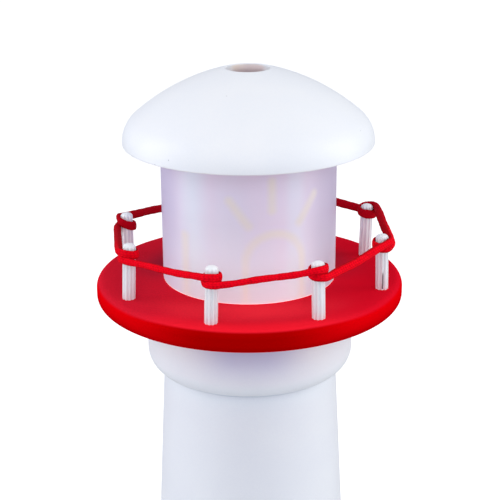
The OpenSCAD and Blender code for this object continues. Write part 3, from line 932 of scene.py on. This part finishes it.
def wrapped_grid(
    columns: int, rows: int, place: Callable[[np.ndarray, np.ndarray], np.ndarray],
    stretch: Point2 = (1.0, 1.0),
) -> bmesh.types.BMesh:
    """Wraps a grid of faces, with its UV map, to a closed skin.

    Args:
        columns: How many faces the grid has one way.
        rows: How many faces it has the other way.
        place: Gives each vertex's place in metres from its shares of the two ways.
        stretch: How many units the UV map counts each way.

    Returns:
        The skin, closed at its seam.
    """
    piece = bmesh.new()
    layer = piece.loops.layers.uv.new("UVMap")
    bmesh.ops.create_grid(piece, x_segments=columns, y_segments=rows, size=1.0, calc_uvs=True)
    order = np.arange((columns + 1) * (rows + 1))
    spots = place((order % (columns + 1)) / columns, (order // (columns + 1)) / rows)
    for vertex, spot in zip(piece.verts, spots):
        vertex.co = spot
    for face in piece.faces:
        for loop in face.loops:
            uv = loop[layer].uv
            loop[layer].uv = (uv.x * stretch[0], uv.y * stretch[1])
    bmesh.ops.remove_doubles(piece, verts=piece.verts, dist=0.001 * MM)
    open_edges = [edge for edge in piece.edges if edge.is_boundary]
    if open_edges:
        bmesh.ops.holes_fill(piece, edges=open_edges, sides=0)
    bmesh.ops.recalc_face_normals(piece, faces=piece.faces)
    return piece


def placed(name: str, data: bpy.types.ID) -> bpy.types.Object:
    """Adds an object to the scene.

    Args:
        name: The object's name.
        data: Its mesh, light or camera.

    Returns:
        The object.
    """
    made = bpy.data.objects.new(name, data)
    bpy.context.scene.collection.objects.link(made)
    return made


@dataclass(frozen=True)
class Piece:
    """A new piece of the lamp: its name, what carries it, its slot and the solids it stands for."""

    name: str
    body: Body
    slot: str
    finish: Finish
    stands_for: tuple[str, ...]
    sharp_deg: float = 38.0

    def make(self, shape: bmesh.types.BMesh) -> bpy.types.Object:
        """Makes the piece's object, hangs it from its body's empty and hides the solids that it stands
        for.

        Args:
            shape: The mesh in the row's frame. It is freed.

        Returns:
            The object.
        """
        mesh = bpy.data.meshes.new(self.name)
        for face in shape.faces:
            face.smooth = True
        for edge in shape.edges:
            edge.smooth = edge.calc_face_angle(0) < math.radians(self.sharp_deg)
        shape.to_mesh(mesh)
        shape.free()
        mesh.materials.append(self.finish.material())
        made = placed(self.name, mesh)
        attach(made, self.body.value)
        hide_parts(*self.stands_for)
        LOG.info("%s: %d faces", self.name, len(mesh.polygons))
        return made


@dataclass(frozen=True)
class Post:
    """Where a post stands on its circle, how far inside it, and how far it leans to the right."""

    angle_deg: float
    inside: float = 0.0
    lean_deg: float = 0.0
    cracked: bool = False
    circle_r: float = 85.6
    radius: float = 4.0
    height: float = 35.5

    def spot(self) -> Vector:
        """Gives the middle of the post's foot, in mm on the level of zero."""
        angle, reach = math.radians(self.angle_deg), self.circle_r - self.inside
        return Vector((reach * math.sin(angle), -reach * math.cos(angle), 0))

    def slope(self) -> float:
        """Gives how far the post's axis moves to the right with each mm of height."""
        return math.tan(math.radians(self.lean_deg))


POSTS = (
    Post(-59.9, 0.3, 2.4), Post(-15.3, 0, 1.7), Post(28, -0.8, -1.2), Post(70.9, -1.5, -1.1, cracked=True),
    Post(113.5, 1.7, 1.5), Post(161), Post(209), Post(257.2, 4.3),
)


@dataclass(frozen=True)
class Turn:
    """The rope's turn round a post.

    It comes in and goes out at shares of the post's height, and drawn_in is the share of the way between
    them that the turn takes up. The other sizes are in mm: slid moves the turn up, askew tips it to one
    side, and lift raises its end over its start.
    """

    post: Post
    comes_in: float
    goes_out: float
    drawn_in: float
    slid: float = 0.0
    askew: float = 0.0
    lift: float = 0.0


@dataclass
class RopeRail:
    """The knitted rope that runs once round each post.

    The turns are pulled tight, so the rope is flattened against the posts and its own turns touch.
    """

    floor_z: float
    radius: float = 2.15
    gap: float = 0.15
    sag: float = 0.6
    turns: tuple[Turn, ...] = (
        Turn(POSTS[5], 0.5, 0.54, 0.9),
        Turn(POSTS[6], 0.46, 0.64, 0.9),
        Turn(POSTS[7], 0.88, 0.69, 0.86, askew=1.1),
        Turn(POSTS[0], 0.91, 0.7, 0.54),
        Turn(POSTS[1], 0.885, 0.7, 0.68, slid=-0.5),
        Turn(POSTS[2], 0.93, 0.74, 0.8, slid=-0.2),
        Turn(POSTS[3], 0.92, 0.73, 0.8, lift=2.4),
        Turn(POSTS[4], 0.96, 0.775, 0.86),
        Turn(POSTS[5], 0.9, 0.76, 0.86),
    )
    tightness: float = 0.56
    lead_in_deg: float = 34.0
    lead_out_deg: float = 62.0
    end_wrap: float = 200.0
    tail: float = 8.0
    wrap_fullness: float = 1.06
    span_fullness: tuple[float, ...] = (1.0, 1.24, 1.16, 0.98, 0.93, 1.16, 1.26, 1.26)
    ease_share: float = 0.2
    wander: float = 0.3
    wander_waves: float = 1.4
    span_points: int = 60
    fine_step: float = 0.25
    softening: int = 5
    sides: int = 30
    ring_step: float = 0.4
    stitch: float = 2.0
    relief: float = 0.09
    mean_relief: float = 0.45
    least_flat: float = 0.45
    uneven: tuple[Point3, ...] = ((0.03, 0.31, 0), (0.025, 0.83, 1), (0.02, 0.13, 2))

    def _wound(self, turn: Turn, start: float, wrap: float) -> np.ndarray:
        """Gives a turn of the rope round a post.

        Args:
            turn: The turn.
            start: The first angle in degrees.
            wrap: How far the rope turns, in degrees.

        Returns:
            The points in mm, each with the rope's fullness there.
        """
        share = np.linspace(0, 1, round(wrap / 2) + 1)
        angle = np.radians(start + wrap * share)
        post, middle = turn.post, turn.post.spot()
        pitch = turn.drawn_in * (turn.goes_out - turn.comes_in)
        height = post.height * ((turn.comes_in + turn.goes_out) / 2 + pitch * (share - 0.5)) + turn.slid
        lead_out = self._eased(1 - (1 - share) * wrap / self.lead_out_deg)
        height += turn.lift * lead_out - turn.askew * np.cos(angle)
        loose = np.maximum(self._eased(1 - share * wrap / self.lead_in_deg), lead_out)
        thick = self.radius * (self.tightness + (1 - self.tightness) * loose)
        wind_r = post.radius + self.gap + thick
        return np.column_stack((
            middle.x + post.slope() * height + wind_r * np.cos(angle),
            middle.y + wind_r * np.sin(angle),
            self.floor_z + height,
            np.full(len(share), self.wrap_fullness),
        ))

    @staticmethod
    def _eased(share: np.ndarray) -> np.ndarray:
        """Eases shares in and out."""
        held = np.clip(share, 0, 1)
        return held * held * (3 - 2 * held)

    def _span(self, start: np.ndarray, end: np.ndarray, fullness: float) -> np.ndarray:
        """Gives a span of the rope between two turns, without its ends.

        Args:
            start: The point that it leaves.
            end: The point that it reaches.
            fullness: How full the rope is in the middle of the span.

        Returns:
            The points in mm, each with the rope's fullness there.
        """
        share = np.linspace(0, 1, self.span_points + 2)[1:-1]
        points = start + (end - start) * share[:, None]
        inner = self._eased(np.minimum(share, 1 - share) / self.ease_share)
        points[:, 2] -= 4 * self.sag * share * (1 - share)
        points[:, 2] += self.wander * inner * np.sin(share * math.tau * self.wander_waves + start[0])
        points[:, 3] += (fullness - self.wrap_fullness) * inner
        return points

    def _tail(self, end: np.ndarray, inner: np.ndarray) -> np.ndarray:
        """Gives the rope's end, straight on from the last point and the one before it."""
        way = end - inner
        return (end + self.tail * way / np.linalg.norm(way))[None]

    def route(self) -> np.ndarray:
        """Gives the rope's middle line, evenly stepped.

        Returns:
            The points in mm, each with the rope's fullness there.
        """
        ways = [after.post.spot() - here.post.spot() for here, after in zip(self.turns, self.turns[1:])]
        sides = [math.degrees(math.atan2(way.y, way.x)) - 90 for way in ways]
        turns = [self._wound(self.turns[0], sides[0] - self.end_wrap, self.end_wrap)]
        for turn, start, end in zip(self.turns[1:], sides, sides[1:]):
            turns.append(self._wound(turn, start, 360 + (end - start) % 360))
        turns.append(self._wound(self.turns[-1], sides[-1], self.end_wrap))
        runs = [self._tail(turns[0][0], turns[0][1]), turns[0]]
        for here, after, fullness in zip(turns, turns[1:], self.span_fullness):
            runs.extend((self._span(here[-1], after[0], fullness), after))
        runs.append(self._tail(turns[-1][-1], turns[-1][-2]))
        fine = self._even(np.vstack(runs), self.fine_step)
        return self._even(self._softened(fine, self.softening), self.ring_step)

    @staticmethod
    def _even(points: np.ndarray, step: float) -> np.ndarray:
        """Sets points evenly along a line.

        Args:
            points: The line's points.
            step: The distance between the new ones.

        Returns:
            The new points.
        """
        steps = np.linalg.norm(np.diff(points[:, :3], axis=0), axis=1)
        lengths = np.concatenate(([0], np.cumsum(steps)))
        marks = np.linspace(0, lengths[-1], round(lengths[-1] / step) + 1)
        return np.column_stack([np.interp(marks, lengths, column) for column in points.T])

    @staticmethod
    def _softened(points: np.ndarray, width: int) -> np.ndarray:
        """Rounds the line's small kinks.

        Args:
            points: The line's points.
            width: How many points the rounding spans to each side.

        Returns:
            The rounded line.
        """
        reach = 3 * width
        weights = np.exp(-0.5 * (np.arange(-reach, reach + 1) / width) ** 2)
        weights /= weights.sum()
        padded = np.vstack((
            2 * points[0] - points[reach:0:-1], points, 2 * points[-1] - points[-2:-reach - 2:-1],
        ))
        return np.column_stack([np.convolve(column, weights, "valid") for column in padded.T])

    def _away(self, line: np.ndarray) -> np.ndarray:
        """Gives the room between the rope's middle line and the nearest post.

        Args:
            line: The middle line's points in mm.

        Returns:
            The room at each point in mm.
        """
        rooms = []
        for post in POSTS:
            spot = post.spot()
            x = line[:, 0] - spot.x - post.slope() * (line[:, 2] - self.floor_z)
            rooms.append(np.hypot(x, line[:, 1] - spot.y) - post.radius)
        return np.min(rooms, axis=0) - self.gap

    def build(self) -> None:
        """Makes the rope."""
        route = self.route()
        line, fullness = route[:, :3], route[:, 3]
        step = np.gradient(line, axis=0)
        way = step / np.linalg.norm(step, axis=1)[:, None]
        side = np.cross(way, (0, 0, 1))
        side /= np.linalg.norm(side, axis=1)[:, None]
        up = np.cross(side, way)
        count = len(line) - 1
        run = np.arange(count + 1) * self.ring_step
        flat = np.clip(self._away(line) / self.radius, self.least_flat, 1)
        swell = fullness + sum(size * np.sin(run * rate + phase) for size, rate, phase in self.uneven)
        ends = np.clip(np.minimum(run, run[-1] - run) / self.radius, 0, 1)
        swell = swell * np.sqrt(1 - (1 - ends) ** 2)

        def place(along: np.ndarray, around: np.ndarray) -> np.ndarray:
            """Sets the rope's vertices.

            Args:
                along: Each vertex's share of the way along the rope.
                around: Its share of the way round it.

            Returns:
                The places in metres.
            """
            ring = np.round(along * count).astype(int)
            angle = math.tau * around
            across = np.abs((around * WALES) % 1 - 0.5)
            wave = np.cos(math.tau * (run[ring] / self.stitch - KNIT_LEAN * across))
            height = self.relief * (knit(across, wave) - self.mean_relief)
            reach = ((self.radius + height) * swell[ring])[:, None]
            wide = np.cos(angle) * flat[ring] / np.where(flat[ring] < 1, swell[ring], 1)
            tall = np.sin(angle) * (1 + 0.5 * (1 - flat[ring]))
            return (line[ring] + reach * (wide[:, None] * side[ring] + tall[:, None] * up[ring])) * MM

        skin = wrapped_grid(count, self.sides, place, (run[-1] / self.stitch, WALES))
        Piece("rope_rail", Body.STAND, "rope_yarn", YARN, ("rope",), 180).make(skin)
        LOG.info("rope length: %.1f mm", run[-1])


@dataclass
class Gallery:
    """The red gallery disc and the fluted posts on it."""

    low_z: float
    floor_z: float
    radius: float = 97.8
    edge_round: float = 5.0
    hold: float = 0.4
    bore_r: float = 5.2
    post_seat: float = 10.0
    post_crown: float = 2.5
    post_chamfer: float = 0.9
    post_hold: float = 0.3
    crown_steps: int = 8
    flutes: int = 10
    flute_depth: float = 0.45
    flute_half_deg: float = 11.5
    flute_fade: float = 1.2
    post_around: int = 120
    crack_off: float = 0.1
    crack_low: float = 0.5
    crack_high: float = 13.0

    def build_disc(self) -> None:
        """Makes the disc."""
        thick = self.floor_z - self.low_z
        r, e = self.radius, self.edge_round
        disc = Outline(self.low_z).to(self.bore_r, 0).to(r - e - self.hold, 0)
        disc.bend((r - e, e), e, -90, 0, 14).bend((r - e, thick - e), e, 0, 90, 14)
        disc.to(r - e - self.hold, thick).to(self.bore_r, thick)
        paint = replace(BOARD_PAINT, rim_r=r, round_r=e, low_z=self.low_z, high_z=self.floor_z)
        Piece("gallery_board", Body.STAND, "red_paint", paint, ("gallery_disc",)).make(disc.turned(AROUND))

    def _flute(self, angle_deg: float, inside: float) -> float:
        """Gives how deep the flutes are at a point.

        Args:
            angle_deg: The angle round the post.
            inside: How far inside the post's side the point is.

        Returns:
            The depth in mm.
        """
        spacing = 360 / self.flutes
        away = abs((angle_deg + spacing / 2) % spacing - spacing / 2) / self.flute_half_deg
        fade = min(max(1 - inside / self.flute_fade, 0), 1)
        return self.flute_depth * max(0.0, 1 - away**2) ** 0.8 * fade

    def build_post(self, post: Post, number: int) -> None:
        """Makes one post.

        Args:
            post: The post.
            number: Its number, counted from 1.
        """
        r, crown, chamfer = post.radius, self.post_crown, self.post_chamfer
        shoulder = post.height - crown
        seat = -self.post_seat
        side = Outline(0).to(0, seat).to(r - chamfer, seat).to(r, seat + chamfer)
        side.to(r, shoulder - self.post_hold)
        for i in range(self.crown_steps + 1):
            angle = math.radians(90 * i / self.crown_steps)
            side.to(r * math.cos(angle), shoulder + crown * math.sin(angle))
        shape = side.turned(self.post_around, closed=False)
        flute = shape.verts.layers.float.new(FLUTE)
        for vertex in shape.verts:
            reach = vertex.co.xy.length / MM
            if reach > r / 2:
                angle = math.degrees(math.atan2(vertex.co.y, vertex.co.x))
                depth = self._flute(angle, r - reach)
                vertex[flute] = depth / self.flute_depth
                vertex.co.x *= 1 - depth / reach
                vertex.co.y *= 1 - depth / reach
        spot = post.spot()
        place = Matrix.Translation(Vector((spot.x, spot.y, self.floor_z)) * MM)
        lean = Matrix.Rotation(math.radians(post.lean_deg), 4, "Y")
        turn = Matrix.Rotation(math.radians(post.angle_deg), 4, "Z")
        bmesh.ops.transform(shape, matrix=place @ lean @ turn, verts=shape.verts)
        finish = self._cracked_paint(spot) if post.cracked else POST_PAINT
        Piece(f"rail_post_{number}", Body.STAND, "post_paint", finish, (f"post_{number}",)).make(shape)

    def _cracked_paint(self, spot: Vector) -> Finish:
        """Gives the paint of the cracked post, which stands at a spot."""
        return replace(
            POST_PAINT, name="cracked_post_paint", crack_x=spot.x + self.crack_off, crack_y=spot.y,
            crack_low=self.floor_z + self.crack_low, crack_high=self.floor_z + self.crack_high,
        )

    def build(self) -> None:
        """Makes the disc and the posts."""
        self.build_disc()
        for number, post in enumerate(POSTS, 1):
            self.build_post(post, number)


@dataclass
class Collar:
    """The turned collar between the tower and the gallery."""

    seam_z: float
    top_z: float
    radius: float = 66.3
    edge_round: float = 13.0
    lip_r: float = 56.6
    bore_r: float = 36.0
    pipe_r: float = 5.2
    web: float = 12.0
    lip_round: float = 0.5
    top_chamfer: float = 0.6
    hold: float = 0.5

    def build(self) -> None:
        """Makes the collar."""
        height = self.top_z - self.seam_z
        sweep = math.degrees(math.acos(1 - (self.radius - self.lip_r) / self.edge_round))
        centre = (self.radius - self.edge_round, self.edge_round * math.sin(math.radians(sweep)))
        ring = Outline(self.seam_z).to(self.pipe_r, height).to(self.radius - self.top_chamfer, height)
        ring.to(self.radius, height - self.top_chamfer).to(self.radius, centre[1] + self.hold)
        ring.bend(centre, self.edge_round, 0, 2 - sweep, 22)
        ring.bend((self.lip_r - 0.4, self.lip_round), self.lip_round, -20, -90, 5)
        ring.to(self.bore_r, 0).to(self.bore_r, height - self.web).to(self.pipe_r, height - self.web)
        paint = replace(COLLAR_PAINT, low_z=self.seam_z, high_z=self.top_z)
        Piece("collar_ring", Body.STAND, "white_paint", paint, ("collar",)).make(ring.turned(AROUND))


@dataclass
class Shade:
    """The frosted tube."""

    foot_z: float
    top_z: float
    outer_r: float = 55.0
    inner_r: float = 52.0
    edge_round: float = 0.6
    hold: float = 0.5

    def build(self) -> None:
        """Makes the tube."""
        height = self.top_z - self.foot_z
        e = self.edge_round
        tube = Outline(self.foot_z).bend((self.outer_r - e, e), e, -90, 0, 4)
        tube.to(self.outer_r, e + self.hold).to(self.outer_r, height - e - self.hold)
        tube.bend((self.outer_r - e, height - e), e, 0, 90, 4)
        tube.to(self.inner_r, height).to(self.inner_r, 0)
        Piece("frosted_shade", Body.SHADE, "frosted_tube", TUBE, ("shade_tube",)).make(tube.turned(AROUND))


@dataclass
class DomeCap:
    """The mushroom dome with its vent."""

    foot_z: float
    radius: float = 78.3
    height: float = 46.2
    crown_r: float = 138.0
    shoulder_r: float = 21.0
    edge: float = 1.0
    foot_round: float = 0.7
    hold: float = 0.4
    vent_r: float = 13.5
    vent_round: float = 0.8
    roof: float = 13.0
    hollow_r: float = 43.0
    around: int = 288

    def _crown_centre(self) -> Point2:
        """Gives the centre of the crown's arc, which touches the shoulder and meets the vent.

        Returns:
            The centre, in mm from the axis and from the dome's foot.
        """
        shoulder = (self.radius - self.shoulder_r, self.edge)
        near, far = self.crown_r - self.shoulder_r, self.crown_r
        span = math.dist(shoulder, (self.vent_r, self.height))
        along = (near**2 - far**2 + span**2) / (2 * span)
        off = math.sqrt(near**2 - along**2)
        way = ((self.vent_r - shoulder[0]) / span, (self.height - shoulder[1]) / span)
        return (shoulder[0] + along * way[0] - off * way[1], shoulder[1] + along * way[1] + off * way[0])

    def build(self) -> None:
        """Makes the dome."""
        shoulder = (self.radius - self.shoulder_r, self.edge)
        crown = self._crown_centre()
        junction = math.degrees(math.atan2(shoulder[1] - crown[1], shoulder[0] - crown[0]))
        mouth_r = self.vent_r + self.vent_round
        top = math.degrees(math.acos((mouth_r - crown[0]) / self.crown_r))
        roof_r = self.crown_r - self.roof
        roof_low = math.degrees(math.acos((self.hollow_r - crown[0]) / roof_r))
        roof_high = math.degrees(math.acos((self.vent_r - crown[0]) / roof_r))
        mouth_z = crown[1] + self.crown_r * math.sin(math.radians(top)) - self.vent_round
        foot_r = self.radius - self.foot_round
        shell = Outline(self.foot_z).to(self.hollow_r, 0).to(foot_r - self.hold, 0)
        shell.bend((foot_r, self.foot_round), self.foot_round, -90, 0, 5)
        shell.bend(shoulder, self.shoulder_r, 0, junction, 28)
        shell.bend(crown, self.crown_r, junction + 0.5, top, 40)
        shell.bend((mouth_r, mouth_z), self.vent_round, 100, 180, 6)
        shell.bend(crown, roof_r, roof_high, roof_low, 16)
        mouth_top = self.foot_z + mouth_z + self.vent_round
        paint = replace(DOME_PAINT, vent_r=self.vent_r, mouth_z=mouth_top)
        Piece("dome_shell", Body.DOME_CAP, "white_paint", paint, ("dome",)).make(shell.turned(self.around))


@dataclass
class BulbCap:
    """The bulb's screw cap, with its thread."""

    low_z: float
    top_z: float
    radius: float = 6.9
    pitch: float = 2.82
    thread_depth: float = 0.55
    thread_fade: float = 1.5
    foot_h: float = 1.2
    foot_in: float = 1.3
    rim_h: float = 2.6
    columns: int = 96
    rows: int = 132

    def build(self) -> None:
        """Makes the cap."""
        height = self.top_z - self.low_z

        def place(around: np.ndarray, along: np.ndarray) -> np.ndarray:
            """Sets the cap's vertices.

            Args:
                around: Each vertex's share of the way round the cap.
                along: Its share of the way up.

            Returns:
                The places in metres.
            """
            z = along * height
            inside = np.minimum(z - self.foot_h, height - self.rim_h - z)
            wave = 0.5 - 0.5 * np.cos(math.tau * (z / self.pitch - around))
            r = self.radius - self.thread_depth * wave * np.clip(inside / self.thread_fade, 0, 1)
            r -= self.foot_in * np.clip(1 - z / self.foot_h, 0, 1)
            return np.column_stack((
                r * np.cos(math.tau * around), r * np.sin(math.tau * around), self.low_z + z,
            )) * MM

        Piece("screw_cap", Body.BULB, "cap_metal", FINISHES["cap_metal"], ("bulb_cap",)).make(
            wrapped_grid(self.columns, self.rows, place)
        )


@dataclass(frozen=True)
class SoftBox:
    """A flat light of the studio."""

    name: str
    place: Point3
    aim: Point3
    size: Point2
    strength: float
    colour: Point3 = (1.0, 1.0, 1.0)

    def hang(self) -> None:
        """Adds the light. Its strength is what a camera that looks into it would read."""
        data = bpy.data.lights.new(self.name, "AREA")
        data.shape = "RECTANGLE"
        data.size, data.size_y = self.size
        data.energy = math.pi * self.strength * self.size[0] * self.size[1]
        data.color = self.colour
        light = placed(self.name, data)
        light.location = self.place
        way = Vector(self.aim) - Vector(self.place)
        light.rotation_euler = way.to_track_quat("-Z", "Y").to_euler()
        light.visible_camera = False


@dataclass
class Studio:
    """The camera, the light and the floor."""

    camera_place: Point3 = (0.0, -0.7814, 0.5582)
    camera_aim: Point3 = (0.0, 0.0, 0.28165)
    lens: float = 93.37
    roll_deg: float = -0.4
    shift_x: float = 0.0016
    ambient: Point3 = (0.84, 0.885, 1.0)
    ambient_strength: float = 0.63
    floor_size: float = 4.0
    floor_grey: float = 0.62
    floor_glow: float = 0.74
    lights: tuple[SoftBox, ...] = (
        SoftBox("left_box", (-0.95, 0.05, 0.42), (0, 0, 0.3), (0.5, 1.1), 2.4),
        SoftBox("right_box", (0.95, 0.0, 0.42), (0, 0, 0.3), (0.5, 1.1), 2.5, (1.0, 1.0, 0.95)),
        SoftBox("top_box", (0.0, -0.45, 1.25), (0, 0, 0.3), (1.0, 0.8), 0.87, (1.0, 0.87, 0.6)),
        SoftBox("front_box", (0.0, -1.5, 1.0), (0, 0, 0.3), (1.2, 0.9), 1.95, (0.91, 0.935, 1.0)),
    )

    def set_camera(self) -> None:
        """Adds the camera."""
        data = bpy.data.cameras.new("camera")
        data.lens = self.lens
        data.sensor_width = 36
        data.shift_x = self.shift_x
        camera = placed("camera", data)
        camera.location = self.camera_place
        way = Vector(self.camera_aim) - Vector(self.camera_place)
        turn = way.to_track_quat("-Z", "Y") @ Quaternion((0, 0, 1), math.radians(self.roll_deg))
        camera.rotation_euler = turn.to_euler()
        bpy.context.scene.camera = camera

    @staticmethod
    def _seen(graph: Graph) -> Wire:
        """Gives 1 for rays of the camera and through glass, which see a white background, and else 0."""
        path = graph.add("LightPath", {}, "Is Camera Ray")
        return graph.math("MAXIMUM", path, path.sibling("Is Transmission Ray"))

    def set_world(self) -> None:
        """Makes the world white to look at and plain to be lit by."""
        world = bpy.data.worlds.new("studio")
        bpy.context.scene.world = world
        world.use_nodes = True
        graph = Graph(world.node_tree)
        lit = graph.add("Background", {0: (*self.ambient, 1), 1: self.ambient_strength})
        white = graph.add("Background", {0: (1, 1, 1, 1), 1: 1.0})
        mixed = graph.add("MixShader", {0: self._seen(graph), 1: lit, 2: white})
        graph.add("OutputWorld", {"Surface": mixed})

    def lay_floor(self) -> None:
        """Makes the pale floor, which keeps the lamp's soft shadow."""
        plane = bmesh.new()
        bmesh.ops.create_grid(plane, x_segments=8, y_segments=8, size=self.floor_size)
        mesh = bpy.data.meshes.new("floor")
        plane.to_mesh(mesh)
        plane.free()
        material = bpy.data.materials.new("pale_floor")
        material.use_nodes = True
        graph = Graph(material.node_tree)
        dull = graph.add("BsdfDiffuse", {0: (*[self.floor_grey] * 3, 1)})
        glow = graph.add("Emission", {0: (1, 1, 1, 1), 1: self._seen(graph) * self.floor_glow})
        both = graph.add("AddShader", {0: dull, 1: glow})
        graph.add("OutputMaterial", {"Surface": both})
        mesh.materials.append(material)
        floor = placed("floor", mesh)

    def build(self) -> None:
        """Sets up the studio."""
        self.set_world()
        self.lay_floor()
        for light in self.lights:
            light.hang()
        bpy.context.scene.view_settings.view_transform = "Standard"


def dress_solids() -> None:
    """Gives each carried-over solid the finish of its slot in the record."""
    for part in frame["record"]["subparts"]:
        finish = FINISHES.get(part["material_slot"])
        if finish is not None:
            materials = frame["nodes"][part["node"]].data.materials
            materials.clear()
            materials.append(finish.material())
            LOG.info("%s: %s", part["node"], finish.name)


def level(node: str, top: bool) -> float:
    """Gives the height of a solid's end."""
    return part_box(node)[int(top)].z / MM


def main() -> None:
    """Builds the studio and the lamp's pieces in order."""
    logging.basicConfig(level=logging.INFO, format="%(message)s")
    studio = Studio()
    studio.set_camera()
    floor_z = level("gallery_disc", True)
    RopeRail(floor_z).build()
    Gallery(level("gallery_disc", False), floor_z).build()
    Collar(level("tower_shell", True), level("collar", True)).build()
    Shade(level("shade_tube", False), level("shade_tube", True)).build()
    DomeCap(level("dome", False)).build()
    BulbCap(level("bulb_cap", False), level("bulb_cap", True)).build()
    dress_solids()
    studio.build()


if __name__ == "__main__":
    main()
